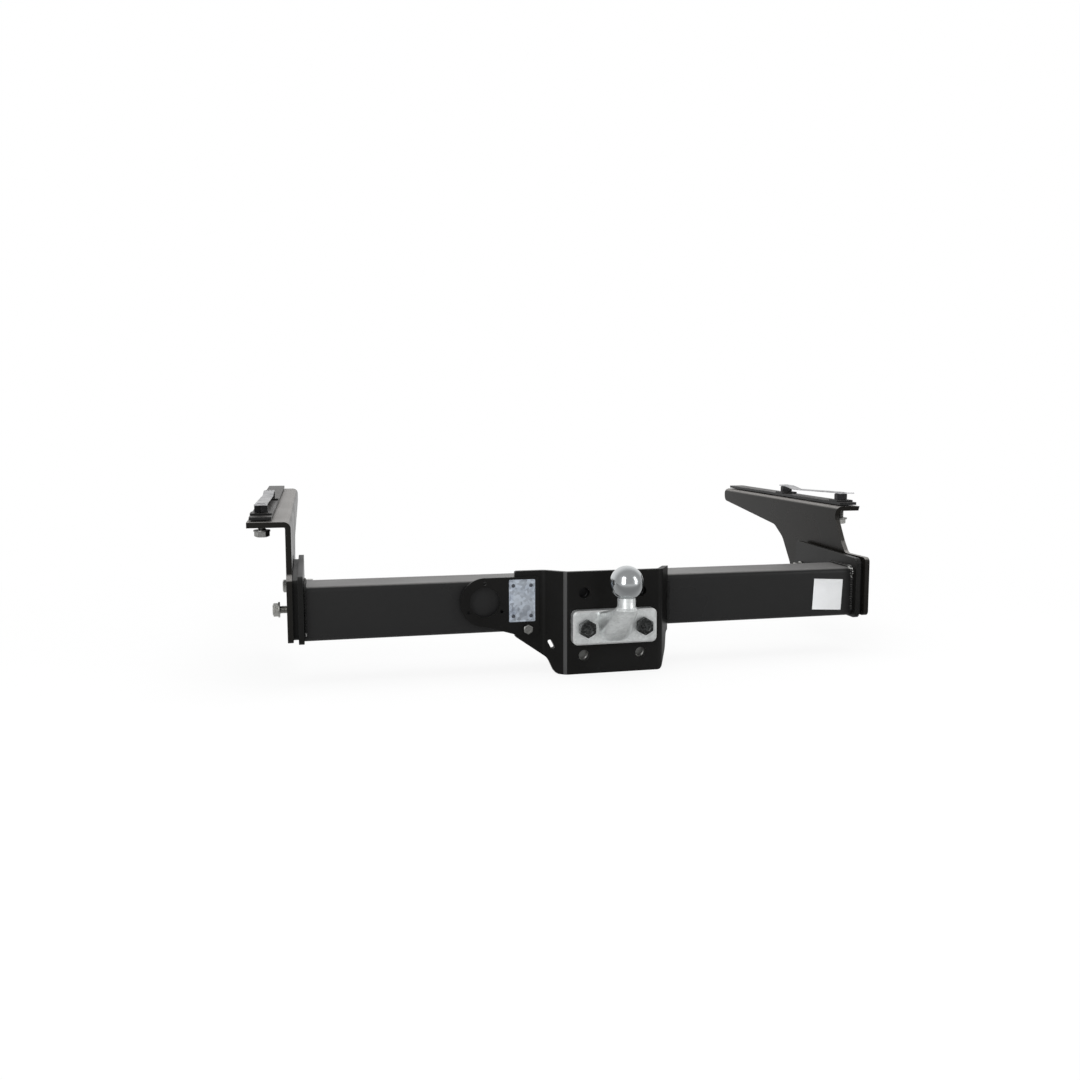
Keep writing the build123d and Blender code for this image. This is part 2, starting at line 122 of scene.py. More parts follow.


# Powder coat: cloudy tone, a pale dust tone on what faces up that is also painted sheen on the tops, fine
# orange peel
def buildPaintSkin():
    look = paintLook
    tree, given, made, coords = newGroup(
        "paintSkin",
        [("Paint", colourKind, (0.02, 0.02, 0.02, 1)), ("Dust And Sheen", colourKind, (0.2, 0.2, 0.2, 1)),
         ("Dust Amount", floatKind, 0.2), ("Dust From", floatKind, 0.45), ("Roughness", floatKind, 0.4),
         ("Peel Scale", floatKind, 700.0)],
        [("Color", colourKind), ("Roughness", floatKind), ("Height", floatKind)])
    clouds = noise(tree, coords, look["cloudScale"], 4.0)
    specks = noise(tree, coords, look["speckScale"], 5.0, 0.7)
    lighter = mixColours(tree, 0.5, given["Paint"], look["worn"])
    cloudy = remap(tree, clouds, *look["clouds"], 0.0, look["cloudShare"])
    tone = mixColours(tree, cloudy, given["Paint"], lighter)
    normal = addNode(tree, "ShaderNodeNewGeometry").outputs["Normal"]
    split = addNode(tree, "ShaderNodeSeparateXYZ")
    tree.links.new(normal, split.inputs[0])
    # Lighter towards faces that point up: dust, and painted sheen on the tops
    steeper = sums(tree, "SUBTRACT", split.outputs["Z"], given["Dust From"])
    upward = remap(tree, steeper, 0.0, look["dustSheenRamp"], 0.0, 1.0)
    patchy = remap(tree, specks, *look["specks"], *look["dustSheenShare"])
    upwardDustAndSheen = sums(tree, "MULTIPLY", upward, patchy)
    dustAndSheen = sums(tree, "MULTIPLY", upwardDustAndSheen, given["Dust Amount"])
    tree.links.new(mixColours(tree, dustAndSheen, tone, given["Dust And Sheen"]), made["Color"])
    uneven = sums(tree, "ADD", given["Roughness"], remap(tree, clouds, 0.3, 0.7, *look["cloudGloss"]))
    dulled = sums(tree, "MULTIPLY", dustAndSheen, look["dustGloss"])
    tree.links.new(sums(tree, "ADD", uneven, dulled), made["Roughness"])
    peel = addNode(tree, "ShaderNodeTexNoise")
    peel.inputs["Detail"].default_value = look["peelDetail"]
    tree.links.new(given["Peel Scale"], peel.inputs["Scale"])
    tree.links.new(coords, peel.inputs["Vector"])
    grains = sums(tree, "MULTIPLY", specks, look["grainHeight"])
    tree.links.new(sums(tree, "ADD", peel.outputs["Fac"], grains), made["Height"])
    return tree


metalLook = {"brush": (900.0, 900.0, 60.0), "patchScale": 42.0, "patches": (0.44, 0.7),
             "stainGloss": 0.35, "flakeGloss": 0.5, "lineHeight": 0.5}


# Bare and plated metal: crystal flakes, fine brushed lines, darker stains
def buildMetalSkin():
    look = metalLook
    tree, given, made, coords = newGroup(
        "metalSkin",
        [("Metal", colourKind, (0.6, 0.6, 0.6, 1)), ("Stain", colourKind, (0.2, 0.2, 0.2, 1)),
         ("Stain Amount", floatKind, 0.3), ("Flake Scale", floatKind, 260.0),
         ("Flake Amount", floatKind, 0.15), ("Roughness", floatKind, 0.3)],
        [("Color", colourKind), ("Roughness", floatKind), ("Height", floatKind)])
    flakes = addNode(tree, "ShaderNodeTexVoronoi", feature="F1")
    tree.links.new(given["Flake Scale"], flakes.inputs["Scale"])
    tree.links.new(coords, flakes.inputs["Vector"])
    shade = addNode(tree, "ShaderNodeSeparateColor")
    tree.links.new(flakes.outputs["Color"], shade.inputs[0])
    flake = remap(tree, shade.outputs[0], 0.0, 1.0, -0.5, 0.5)
    lines = noise(tree, stretched(tree, coords, look["brush"]), 1.0, 2.0)
    patches = noise(tree, coords, look["patchScale"], 6.0, 0.62)
    dark = remap(tree, patches, *look["patches"], 0.0, 1.0)
    stained = sums(tree, "MULTIPLY", dark, given["Stain Amount"])
    tone = mixColours(tree, stained, given["Metal"], given["Stain"])
    swing = sums(tree, "MULTIPLY", flake, given["Flake Amount"])
    bright = addNode(tree, "ShaderNodeHueSaturation")
    tree.links.new(sums(tree, "ADD", 1.0, swing), bright.inputs["Value"])
    tree.links.new(tone, bright.inputs["Color"])
    tree.links.new(bright.outputs[0], made["Color"])
    worn = sums(tree, "ADD", given["Roughness"], sums(tree, "MULTIPLY", stained, look["stainGloss"]))
    glint = sums(tree, "MULTIPLY", swing, look["flakeGloss"])
    tree.links.new(sums(tree, "ADD", worn, glint), made["Roughness"])
    brushed = sums(tree, "MULTIPLY", lines, look["lineHeight"])
    tree.links.new(sums(tree, "ADD", brushed, patches), made["Height"])
    return tree


paintSkin = buildPaintSkin()
metalSkin = buildMetalSkin()
print("surface groups built")


# Materials

# The bump is its strength and its distance in metres
def finish(name, group, values, bump, metallic=0.0, specular=0.5):
    material = bpy.data.materials.new(name)
    material.use_nodes = True
    tree = material.node_tree
    shader = next(n for n in tree.nodes if n.type == "BSDF_PRINCIPLED")
    skin = addNode(tree, "ShaderNodeGroup")
    skin.node_tree = group
    for label, value in values.items():
        skin.inputs[label].default_value = (*value, 1.0) if isinstance(value, tuple) else value
    tree.links.new(skin.outputs["Color"], shader.inputs["Base Color"])
    tree.links.new(skin.outputs["Roughness"], shader.inputs["Roughness"])
    relief = addNode(tree, "ShaderNodeBump")
    relief.inputs["Strength"].default_value = bump[0]
    relief.inputs["Distance"].default_value = bump[1]
    tree.links.new(skin.outputs["Height"], relief.inputs["Height"])
    tree.links.new(relief.outputs["Normal"], shader.inputs["Normal"])
    shader.inputs["Metallic"].default_value = metallic
    shader.inputs["Specular IOR Level"].default_value = specular
    material.diffuse_color = (*values.get("Paint", values.get("Metal")), 1.0)
    return material


# Places where the weld paint gets pale specks as painted highlights
weldHighlightSpots = (((0.4205, 0.104, -0.0065), 0.017), ((-0.4515, 0.106, -0.0840), 0.012))
weldHighlightLook = {"metal": (0.78, 0.78, 0.76), "scale": 330.0, "specks": (0.52, 0.58), "core": 0.5}


# Paint mixed with pale specks round one place: a painted highlight on the weld
def addWeldHighlight(material, place, reach):
    tree = material.node_tree
    shader = next(n for n in tree.nodes if n.type == "BSDF_PRINCIPLED")
    under = shader.inputs["Base Color"].links[0].from_socket
    coords = addNode(tree, "ShaderNodeTexCoord").outputs["Object"]
    away = addNode(tree, "ShaderNodeVectorMath", operation="DISTANCE")
    tree.links.new(coords, away.inputs[0])
    away.inputs[1].default_value = place
    near = remap(tree, away.outputs["Value"], reach * weldHighlightLook["core"], reach, 1.0, 0.0)
    specks = remap(tree, noise(tree, coords, weldHighlightLook["scale"], 2.0), *weldHighlightLook["specks"], 0.0, 1.0)
    highlighted = sums(tree, "MULTIPLY", near, specks)
    tree.links.new(mixColours(tree, highlighted, under, weldHighlightLook["metal"]), shader.inputs["Base Color"])


# The dust tone on upward faces is partly painted sheen, strongest on the tube and the arms, where it lightens
# the tops
tubePaint = finish("tubePaint", paintSkin, {
    "Paint": (0.0165, 0.0165, 0.0167), "Dust And Sheen": (0.27, 0.265, 0.26), "Dust Amount": 0.80, "Dust From": 0.74,
    "Roughness": 0.30, "Peel Scale": 620.0}, (0.10, 0.0004), specular=0.15)
bracketPaint = finish("bracketPaint", paintSkin, {
    "Paint": (0.0050, 0.0048, 0.0045), "Dust And Sheen": (0.12, 0.12, 0.12), "Dust Amount": 0.15,
    "Roughness": 0.36, "Peel Scale": 560.0}, (0.12, 0.0004), specular=0.13)
# Paler, glossier paint for the bracket's left front bend: a painted highlight
bendHighlightPaint = finish("bendHighlightPaint", paintSkin, {
    "Paint": (0.055, 0.055, 0.055), "Dust And Sheen": (0.20, 0.20, 0.20), "Dust Amount": 0.20,
    "Roughness": 0.42, "Peel Scale": 560.0}, (0.12, 0.0004), specular=0.42)
armPaint = finish("armPaint", paintSkin, {
    "Paint": (0.0095, 0.0085, 0.0072), "Dust And Sheen": (0.40, 0.385, 0.37), "Dust Amount": 0.95, "Dust From": 0.50,
    "Roughness": 0.28, "Peel Scale": 520.0}, (0.10, 0.0004), specular=0.085)
wornEdge = finish("wornEdge", paintSkin, {
    "Paint": (0.009, 0.009, 0.009), "Dust And Sheen": (0.28, 0.27, 0.26), "Dust Amount": 0.50,
    "Roughness": 0.34, "Peel Scale": 900.0}, (0.10, 0.0003), specular=0.14)
weldPaint = finish("weldPaint", paintSkin, {
    "Paint": (0.008, 0.008, 0.008), "Dust And Sheen": (0.30, 0.29, 0.28), "Dust Amount": 0.35,
    "Roughness": 0.36, "Peel Scale": 380.0}, (0.50, 0.0009), specular=0.20)
barCoat = finish("barCoat", paintSkin, {
    "Paint": (0.010, 0.010, 0.0105), "Dust And Sheen": (0.26, 0.25, 0.24), "Dust Amount": 0.45,
    "Roughness": 0.38, "Peel Scale": 500.0}, (0.18, 0.0004), specular=0.16)
brightZinc = finish("brightZinc", metalSkin, {
    "Metal": (0.44, 0.44, 0.42), "Stain": (0.20, 0.19, 0.17), "Stain Amount": 0.5,
    "Flake Scale": 420.0, "Flake Amount": 0.25, "Roughness": 0.30}, (0.20, 0.0003), 1.0)
dullZinc = finish("dullZinc", metalSkin, {
    "Metal": (0.30, 0.30, 0.29), "Stain": (0.12, 0.12, 0.11), "Stain Amount": 0.5,
    "Flake Scale": 420.0, "Flake Amount": 0.25, "Roughness": 0.38}, (0.20, 0.0003), 1.0)
forgedZinc = finish("forgedZinc", metalSkin, {
    "Metal": (0.92, 0.95, 0.945), "Stain": (0.45, 0.46, 0.46), "Stain Amount": 0.55,
    "Flake Scale": 300.0, "Flake Amount": 0.14, "Roughness": 0.33}, (0.22, 0.0005), 0.84)
# Brighter finish for the forging's broken edges and flange chamfer: a painted highlight
forgedEdgeHighlight = finish("forgedEdgeHighlight", metalSkin, {
    "Metal": (0.96, 0.97, 0.965), "Stain": (0.75, 0.76, 0.75), "Stain Amount": 0.4,
    "Flake Scale": 300.0, "Flake Amount": 0.10, "Roughness": 0.42}, (0.12, 0.0003), 1.0)
darkBolt = finish("darkBolt", metalSkin, {
    "Metal": (0.070, 0.073, 0.073), "Stain": (0.03, 0.03, 0.03), "Stain Amount": 0.6,
    "Flake Scale": 420.0, "Flake Amount": 0.9, "Roughness": 0.26}, (0.3, 0.0005), 1.0)
blackNut = finish("blackNut", metalSkin, {
    "Metal": (0.022, 0.022, 0.023), "Stain": (0.015, 0.015, 0.015), "Stain Amount": 0.5,
    "Flake Scale": 500.0, "Flake Amount": 0.3, "Roughness": 0.36}, (0.2, 0.0003), 1.0)
plateAluminium = finish("plateAluminium", metalSkin, {
    "Metal": (0.64, 0.70, 0.78), "Stain": (0.30, 0.335, 0.40), "Stain Amount": 0.85,
    "Flake Scale": 210.0, "Flake Amount": 0.40, "Roughness": 0.38}, (0.25, 0.0004), 1.0)
stripSteel = finish("stripSteel", metalSkin, {
    "Metal": (0.42, 0.42, 0.43), "Stain": (0.22, 0.22, 0.23), "Stain Amount": 0.6,
    "Flake Scale": 180.0, "Flake Amount": 0.35, "Roughness": 0.36}, (0.2, 0.0003), 1.0)
rivetMetal = finish("rivetMetal", metalSkin, {
    "Metal": (0.16, 0.17, 0.19), "Stain": (0.07, 0.07, 0.08), "Stain Amount": 0.6,
    "Flake Scale": 600.0, "Flake Amount": 0.2, "Roughness": 0.36}, (0.2, 0.0002), 1.0)
labelFilm = finish("labelFilm", paintSkin, {
    "Paint": (0.78, 0.79, 0.80), "Dust And Sheen": (0.50, 0.50, 0.49), "Dust Amount": 0.5,
    "Roughness": 0.48, "Peel Scale": 260.0}, (0.12, 0.0005), specular=0.3)
# Painted highlights on the welds
for place, reach in weldHighlightSpots:
    addWeldHighlight(weldPaint, place, reach)
print("materials made")


# Modelling helpers

def selectOnly(*things):
    bpy.ops.object.select_all(action="DESELECT")
    for thing in things:
        thing.select_set(True)
    bpy.context.view_layer.objects.active = things[0]


def useModifier(piece, kind, **settings):
    selectOnly(piece)
    modifier = piece.modifiers.new(kind.lower(), kind)
    for name, value in settings.items():
        setattr(modifier, name, value)
    bpy.ops.object.modifier_apply(modifier=modifier.name)


def editAll(piece):
    selectOnly(piece)
    bpy.ops.object.mode_set(mode="EDIT")
    bpy.ops.mesh.select_all(action="SELECT")


def leaveEdit():
    bpy.ops.object.mode_set(mode="OBJECT")


def clearPicks(piece, kind):
    selectOnly(piece)
    bpy.ops.object.mode_set(mode="EDIT")
    bpy.ops.mesh.select_mode(type=kind)
    bpy.ops.mesh.select_all(action="DESELECT")
    leaveEdit()


# Starts edit mode with the faces selected that pass a test on their place and normal
def pickFaces(piece, test):
    clearPicks(piece, "FACE")
    for face in piece.data.polygons:
        face.select = test(face.center, face.normal)
    bpy.ops.object.mode_set(mode="EDIT")


def pickEdges(piece, test):
    clearPicks(piece, "EDGE")
    points = piece.data.vertices
    for edge in piece.data.edges:
        edge.select = test(points[edge.vertices[0]].co, points[edge.vertices[1]].co)
    bpy.ops.object.mode_set(mode="EDIT")


def facesUp(place, normal):
    return normal.z > 0.99


def smoothUpTo(piece, degrees):
    selectOnly(piece)
    bpy.ops.object.shade_smooth_by_angle(angle=math.radians(degrees))


# A primitive by itself in the selection, with its place and scale applied
def addSolid(make, scale=(1, 1, 1), **settings):
    bpy.ops.object.select_all(action="DESELECT")
    make(**settings)
    solid = bpy.context.active_object
    solid.scale = scale
    bpy.ops.object.transform_apply(location=True, rotation=True, scale=True)
    return solid


# Names a finished piece, hangs it on the root and hides the CAD node that it stands for
def settle(piece, name, materials, stoodFor):
    selectOnly(piece)
    bpy.ops.object.transform_apply(location=True, rotation=True, scale=True)
    piece.name = name
    if materials:
        piece.data.materials.clear()
        for material in materials:
            piece.data.materials.append(material)
    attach(piece, "root")
    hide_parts(stoodFor)
    return piece


merging = {"gap": 0.00002, "flat": 0.5}


# A merged copy of a CAD node, free to be worked on
def workingCopy(nodeName):
    selectOnly(cadNodes[nodeName])
    bpy.ops.object.duplicate()
    piece = bpy.context.active_object
    piece.parent = None
    for label in list(piece.keys()):
        del piece[label]
    piece.data.materials.clear()
    editAll(piece)
    bpy.ops.mesh.customdata_custom_splitnormals_clear()
    bpy.ops.mesh.remove_doubles(threshold=merging["gap"])
    bpy.ops.mesh.dissolve_limited(angle_limit=math.radians(merging["flat"]))
    leaveEdit()
    return piece


# Plates and sections with broken edges. The last material given is the one on the broken edge

edgeWork = {"sharperThan": 38, "smooth": 34, "weight": 90}


def breakEdges(nodeName, name, materials, width, smooth=edgeWork["smooth"]):
    piece = workingCopy(nodeName)
    for material in materials:
        piece.data.materials.append(material)
    useModifier(piece, "BEVEL", width=width, segments=2, limit_method="ANGLE", use_clamp_overlap=True,
                angle_limit=math.radians(edgeWork["sharperThan"]), material=len(materials) - 1)
    smoothUpTo(piece, smooth)
    useModifier(piece, "WEIGHTED_NORMAL", keep_sharp=True, weight=edgeWork["weight"])
    return settle(piece, name, (), nodeName)


edges = {"tube": 0.0005, "cut": 0.0007, "pressed": 0.0011, "thin": 0.0003, "strap": 0.0002}
breakEdges("crossbar_tube", "crossbar", (tubePaint, wornEdge), edges["tube"])
bracket = breakEdges("hitch_bracket", "bracketPressing", (bracketPaint, wornEdge),
                     edges["pressed"])
breakEdges("socket_plate", "socketPlate", (bracketPaint,), edges["thin"])
for side in ("right", "left"):
    breakEdges(side + "_side_arm", side + "Arm", (armPaint, wornEdge), edges["pressed"])
    breakEdges(side + "_end_plate", side + "EndPlate", (bracketPaint, wornEdge), edges["cut"])
    breakEdges(side + "_packing_plate", side + "PackingPlate", (bracketPaint,), edges["thin"])
    breakEdges(side + "_nut_bar", side + "NutBar", (barCoat, wornEdge), edges["thin"])
    breakEdges(side + "_nut_plates", side + "NutPlates", (barCoat, wornEdge), edges["thin"])
    breakEdges(side + "_nut_strap", side + "NutStrap", (stripSteel,), edges["strap"])
    breakEdges(side + "_arm_washers", side + "ArmWashers", (brightZinc,), edges["thin"])
    breakEdges(side + "_rail_washers", side + "RailWashers", (dullZinc,), edges["thin"])

# The left front bend gets a paler, glossier paint: a painted highlight down the bend
leftBendHighlight = {"front": -0.96, "wall": -0.75, "upright": 0.3, "before": 0.09}
bracket.data.materials.append(bendHighlightPaint)
for face in bracket.data.polygons:
    onLeft = face.center.x < 0 and face.normal.x < 0 and face.center.y < leftBendHighlight["before"]
    turned = leftBendHighlight["front"] < face.normal.y < leftBendHighlight["wall"]
    if onLeft and turned and abs(face.normal.z) < leftBendHighlight["upright"]:
        face.material_index = 2
print("plates finished")


# Tow ball forging: soft forging edges, with a painted highlight: a brighter finish on the broken edges and on
# the chamfer round the flange
forging = {"edge": 0.0012, "smooth": 40}
flangeRimHighlight = {"face": 0.056, "chamfer": 0.0028, "steep": -0.93, "shallow": -0.4,
             "halfWidth": 0.064, "halfHeight": 0.0232, "middle": -0.076}
ballPiece = breakEdges("tow_ball", "towBallForging", (forgedZinc, forgedEdgeHighlight),
                       forging["edge"], forging["smooth"])
for face in ballPiece.data.polygons:
    onRim = abs(face.center.y - flangeRimHighlight["face"]) < flangeRimHighlight["chamfer"]
    slanted = flangeRimHighlight["steep"] < face.normal.y < flangeRimHighlight["shallow"]
    across = abs(face.center.x) / flangeRimHighlight["halfWidth"]
    up = abs(face.center.z - flangeRimHighlight["middle"]) / flangeRimHighlight["halfHeight"]
    if onRim and slanted and max(across, up) > 1:
        face.material_index = 1

ballFinish = {"radius": 0.0253, "fade": 0.0012, "tone": (0.56, 0.58, 0.59), "smearScale": 90.0,
              "smear": (0.3, 0.7), "gloss": (0.12, 0.22), "forgedMetallic": 0.84}


# Smooth chrome within the ball's radius, and the forged skin outside it
def polishBall(material):
    tree = material.node_tree
    shader = next(n for n in tree.nodes if n.type == "BSDF_PRINCIPLED")
    skin = next(n for n in tree.nodes if n.type == "GROUP")
    coords = addNode(tree, "ShaderNodeTexCoord").outputs["Object"]
    reach = addNode(tree, "ShaderNodeVectorMath", operation="LENGTH")
    tree.links.new(coords, reach.inputs[0])
    edge = ballFinish["radius"]
    onBall = remap(tree, reach.outputs["Value"], edge, edge + ballFinish["fade"], 1.0, 0.0)
    tone = mixColours(tree, onBall, skin.outputs["Color"], ballFinish["tone"])
    tree.links.new(tone, shader.inputs["Base Color"])
    smear = noise(tree, coords, ballFinish["smearScale"], 4.0)
    gloss = remap(tree, smear, *ballFinish["smear"], *ballFinish["gloss"])
    blend = addNode(tree, "ShaderNodeMix", data_type="FLOAT")
    tree.links.new(onBall, blend.inputs[0])
    tree.links.new(skin.outputs["Roughness"], blend.inputs[2])
    tree.links.new(gloss, blend.inputs[3])
    tree.links.new(blend.outputs[0], shader.inputs["Roughness"])
    metal = remap(tree, onBall, 0.0, 1.0, ballFinish["forgedMetallic"], 1.0)
    tree.links.new(metal, shader.inputs["Metallic"])


polishBall(forgedZinc)
print("forging finished")


# Weld seams: rounded beads with ripples
weldBead = {"voxel": 0.0012, "softening": 0.5, "rounds": 6, "ripple": 0.0013, "pitch": 0.0040,
            "lump": 0.0020, "lumpScale": 0.008, "level": 0.6, "smooth": 50}


def weldSeams(nodeName, name):
    piece = workingCopy(nodeName)
    useModifier(piece, "REMESH", mode="VOXEL", voxel_size=weldBead["voxel"])
    useModifier(piece, "SMOOTH", factor=weldBead["softening"], iterations=weldBead["rounds"])
    bpy.ops.object.empty_add(location=(0, 0, 0))
    spacing = bpy.context.active_object
    spacing.scale = (weldBead["pitch"] * 10 / (2 * math.pi),) * 3
    bpy.context.view_layer.update()
    ripples = bpy.data.textures.new("ripples", "WOOD")
    ripples.wood_type = "BANDS"
    lumps = bpy.data.textures.new("lumps", "CLOUDS")
    lumps.noise_scale = weldBead["lumpScale"]
    useModifier(piece, "DISPLACE", texture=ripples, texture_coords="OBJECT", texture_coords_object=spacing,
                strength=weldBead["ripple"], mid_level=weldBead["level"])
    useModifier(piece, "DISPLACE", texture=lumps, texture_coords="LOCAL",
                strength=weldBead["lump"], mid_level=weldBead["level"])
    bpy.data.objects.remove(spacing)
    smoothUpTo(piece, weldBead["smooth"])
    return settle(piece, name, (weldPaint,), nodeName)


weldSeams("end_plate_welds", "endPlateBeads")
weldSeams("bracket_welds", "bracketBeads")
print("weld seams finished")


# Fasteners: each is modelled once, standing on its seat with its own +Z outwards, then copied

# Depth, crest, flank and lead are shares of the pitch, and the tip is one of the core's radius
thread = {"depth": 0.6, "crest": 0.15, "flank": 0.55, "lead": 1.5, "spare": 3, "steps": 24, "tip": 0.9}
gaps = {"solids": 0.00001, "turns": 0.000001, "points": 0.000002}
# The cones' rise is a share of the height, and the turned circle's radius one of the width across flats
hexForm = {"coneRise": 1.2, "circle": 0.475, "sides": 72}
# Shares of the width across flats, and the dish one of the pad's own rise
headPad = {"radius": 0.40, "rise": 0.03, "rim": 0.06, "slope": 0.03, "dish": 0.7, "sides": 40}
bore = {"over": 0.002, "blind": 0.005, "play": 0.0001, "dome": 0.44}
rivetForm = {"sides": 32, "roundOver": 0.7, "rim": 0.12, "slope": 0.05, "hollow": 0.5, "smooth": 40}
fastenerSmooth = 32


def joinSolids(piece, other, operation):
    useModifier(piece, "BOOLEAN", operation=operation, object=other, solver="EXACT")
    bpy.data.objects.remove(other)
    editAll(piece)
    bpy.ops.mesh.remove_doubles(threshold=gaps["solids"])
    leaveEdit()


# A rolled thread that runs down from z = 0, with a chamfered tip
def threadedRod(radius, pitch, length):
    bpy.ops.object.select_all(action="DESELECT")
    bpy.ops.mesh.primitive_plane_add(size=pitch, location=(0, 0, 0))
    rod = bpy.context.active_object
    rod.data.clear_geometry()
    root = radius - thread["depth"] * pitch
    crest, flank = pitch * thread["crest"], pitch * thread["flank"]
    rod.data.from_pydata(
        [(radius, 0, 0), (radius, 0, crest), (root, 0, flank), (radius, 0, pitch)],
        [(0, 1), (1, 2), (2, 3)], [])
    turns = int(length / pitch) + thread["spare"]
    useModifier(rod, "SCREW", screw_offset=pitch, iterations=turns, steps=thread["steps"],
                render_steps=thread["steps"], use_merge_vertices=True, merge_threshold=gaps["turns"])
    for point in rod.data.vertices:
        point.co.z += thread["lead"] * pitch - turns * pitch
        allowed = max(root * thread["tip"], min(radius, root + (point.co.z + length)))
        reach = math.hypot(point.co.x, point.co.y)
        if reach > allowed:
            point.co.x, point.co.y = point.co.x * allowed / reach, point.co.y * allowed / reach
    editAll(rod)
    bpy.ops.mesh.remove_doubles(threshold=gaps["points"])
    for level, inner in ((-length, True), (0.0, False)):
        bpy.ops.mesh.select_all(action="SELECT")
        bpy.ops.mesh.bisect(plane_co=(0, 0, level), plane_no=(0, 0, 1), use_fill=True,
                            clear_inner=inner, clear_outer=not inner)
    bpy.ops.mesh.select_all(action="SELECT")
    bpy.ops.mesh.normals_make_consistent(inside=False)
    leaveEdit()
    return rod


# A hexagon whose corners are turned off at the top, and below too for a nut
def hexBlank(flats, height, bothEnds):
    blank = addSolid(bpy.ops.mesh.primitive_cylinder_add, vertices=6, radius=flats / math.sqrt(3),
                     depth=height, location=(0, 0, height / 2))
    rise, inner = height * hexForm["coneRise"], flats * hexForm["circle"]
    outer = inner + rise * math.sqrt(3)
    cones = [(outer, inner, height - rise / 2)]
    if bothEnds:
        cones.append((inner, outer, rise / 2))
    for low, high, middle in cones:
        bpy.ops.object.select_all(action="DESELECT")
        bpy.ops.mesh.primitive_cone_add(vertices=hexForm["sides"], radius1=low, radius2=high, depth=rise,
                                        location=(0, 0, middle))
        joinSolids(blank, bpy.context.active_object, "INTERSECT")
    return blank


def makeBolt(size):
    flats = size["flats"]
    head = hexBlank(flats, size["head"], False)
    rise = flats * headPad["rise"]
    pad = addSolid(bpy.ops.mesh.primitive_cylinder_add, vertices=headPad["sides"],
                   radius=flats * headPad["radius"], depth=2 * rise, location=(0, 0, size["head"]))
    pickFaces(pad, facesUp)
    bpy.ops.mesh.inset(thickness=flats * headPad["rim"], depth=0)
    bpy.ops.mesh.inset(thickness=flats * headPad["slope"], depth=-rise * headPad["dish"])
    leaveEdit()
    joinSolids(head, pad, "UNION")
    rod = threadedRod(size["radius"], size["pitch"], size["length"])
    selectOnly(head, rod)
    bpy.ops.object.join()
    smoothUpTo(head, fastenerSmooth)
    return head


# A nut bored right through, or one with a dome on top and a blind bore from below
def makeNut(size, capRise=0.0):
    flats, depth, over = size["flats"], size["nut"], bore["over"]
    blank = hexBlank(flats, depth, True)
    if capRise:
        width = flats * bore["dome"]
        dome = addSolid(bpy.ops.mesh.primitive_uv_sphere_add, (width, width, capRise),
                        segments=48, ring_count=24, radius=1, location=(0, 0, depth))
        joinSolids(blank, dome, "UNION")
    reach = bore["blind"] if capRise else depth + over
    cutter = threadedRod(size["radius"] + bore["play"], size["pitch"], reach + over)
    for point in cutter.data.vertices:
        point.co.z = -over - point.co.z if capRise else point.co.z + depth + over
        point.co.y *= -1 if capRise else 1
    joinSolids(blank, cutter, "DIFFERENCE")
    smoothUpTo(blank, fastenerSmooth)
    return blank


# A blind rivet head with the hollow that its mandrel leaves
def makeRivet(size):
    radius, height, shank = size["radius"], size["height"], size["shank"]
    rivet = addSolid(bpy.ops.mesh.primitive_cylinder_add, vertices=rivetForm["sides"], radius=radius,
                     depth=height + shank, location=(0, 0, (height - shank) / 2))
    pickFaces(rivet, facesUp)
    bpy.ops.mesh.bevel(offset=height * rivetForm["roundOver"], segments=4)
    leaveEdit()
    pickFaces(rivet, facesUp)
    bpy.ops.mesh.inset(thickness=radius * rivetForm["rim"], depth=0)
    bpy.ops.mesh.inset(thickness=radius * rivetForm["slope"], depth=-height * rivetForm["hollow"])
    leaveEdit()
    smoothUpTo(rivet, rivetForm["smooth"])
    return rivet


# Copies stand at the places given and are joined into the piece that stands for the node
def placeCopies(model, places, direction, name, material, nodeName):
    made = []
    turn = Vector((0, 0, 1)).rotation_difference(Vector(direction))
    for place in places:
        selectOnly(model)
        bpy.ops.object.duplicate()
        copy = bpy.context.active_object
        copy.rotation_mode = "QUATERNION"
        copy.rotation_quaternion = turn
        copy.location = place
        bpy.ops.object.transform_apply(location=True, rotation=True, scale=True)
        made.append(copy)
    selectOnly(*made)
    if len(made) > 1:
        bpy.ops.object.join()
    return settle(made[0], name, (material,), nodeName)


m12 = {"radius": 0.006, "pitch": 0.00175, "flats": 0.019, "head": 0.0075, "nut": 0.0108, "length": 0.050}
m12Rail = dict(m12, length=0.040)
m16 = {"radius": 0.008, "pitch": 0.002, "flats": 0.024, "head": 0.010, "nut": 0.013, "length": 0.041}
m8 = {"radius": 0.004, "pitch": 0.00125, "flats": 0.013, "head": 0.0053, "length": 0.0105}
rivetSize = {"radius": 0.0028, "height": 0.0012, "shank": 0.0008}
armRows = ((0.218, -0.0565), (0.294, -0.0315))
bracketRows, bracketColumns = (-0.025, -0.076, -0.121), (-0.045, 0.045)
railRows = {"right": (0.4605, (0.223, 0.444), 0.0640), "left": (-0.5105, (0.166, 0.466), 0.0700)}
railNutSeat, capRise = 0.0983, 0.008
fronts = {"flange": 0.056, "typePlate": 0.094, "socketPlate": 0.095}
bracketBack, shadedNutsFrom = 0.080, -0.05
wingPlace = (-0.1275, fronts["socketPlate"], -0.0805)
rivetPlaces = [(x, fronts["typePlate"], z) for x in (-0.1497, -0.1227) for z in (-0.05975, -0.01325)]

armBolt, railBolt, ballBolt, wingBolt = (makeBolt(size) for size in (m12, m12Rail, m16, m8))
armNut, capNut, rivet = makeNut(m12), makeNut(m16, capRise), makeRivet(rivetSize)
print("fasteners modelled")

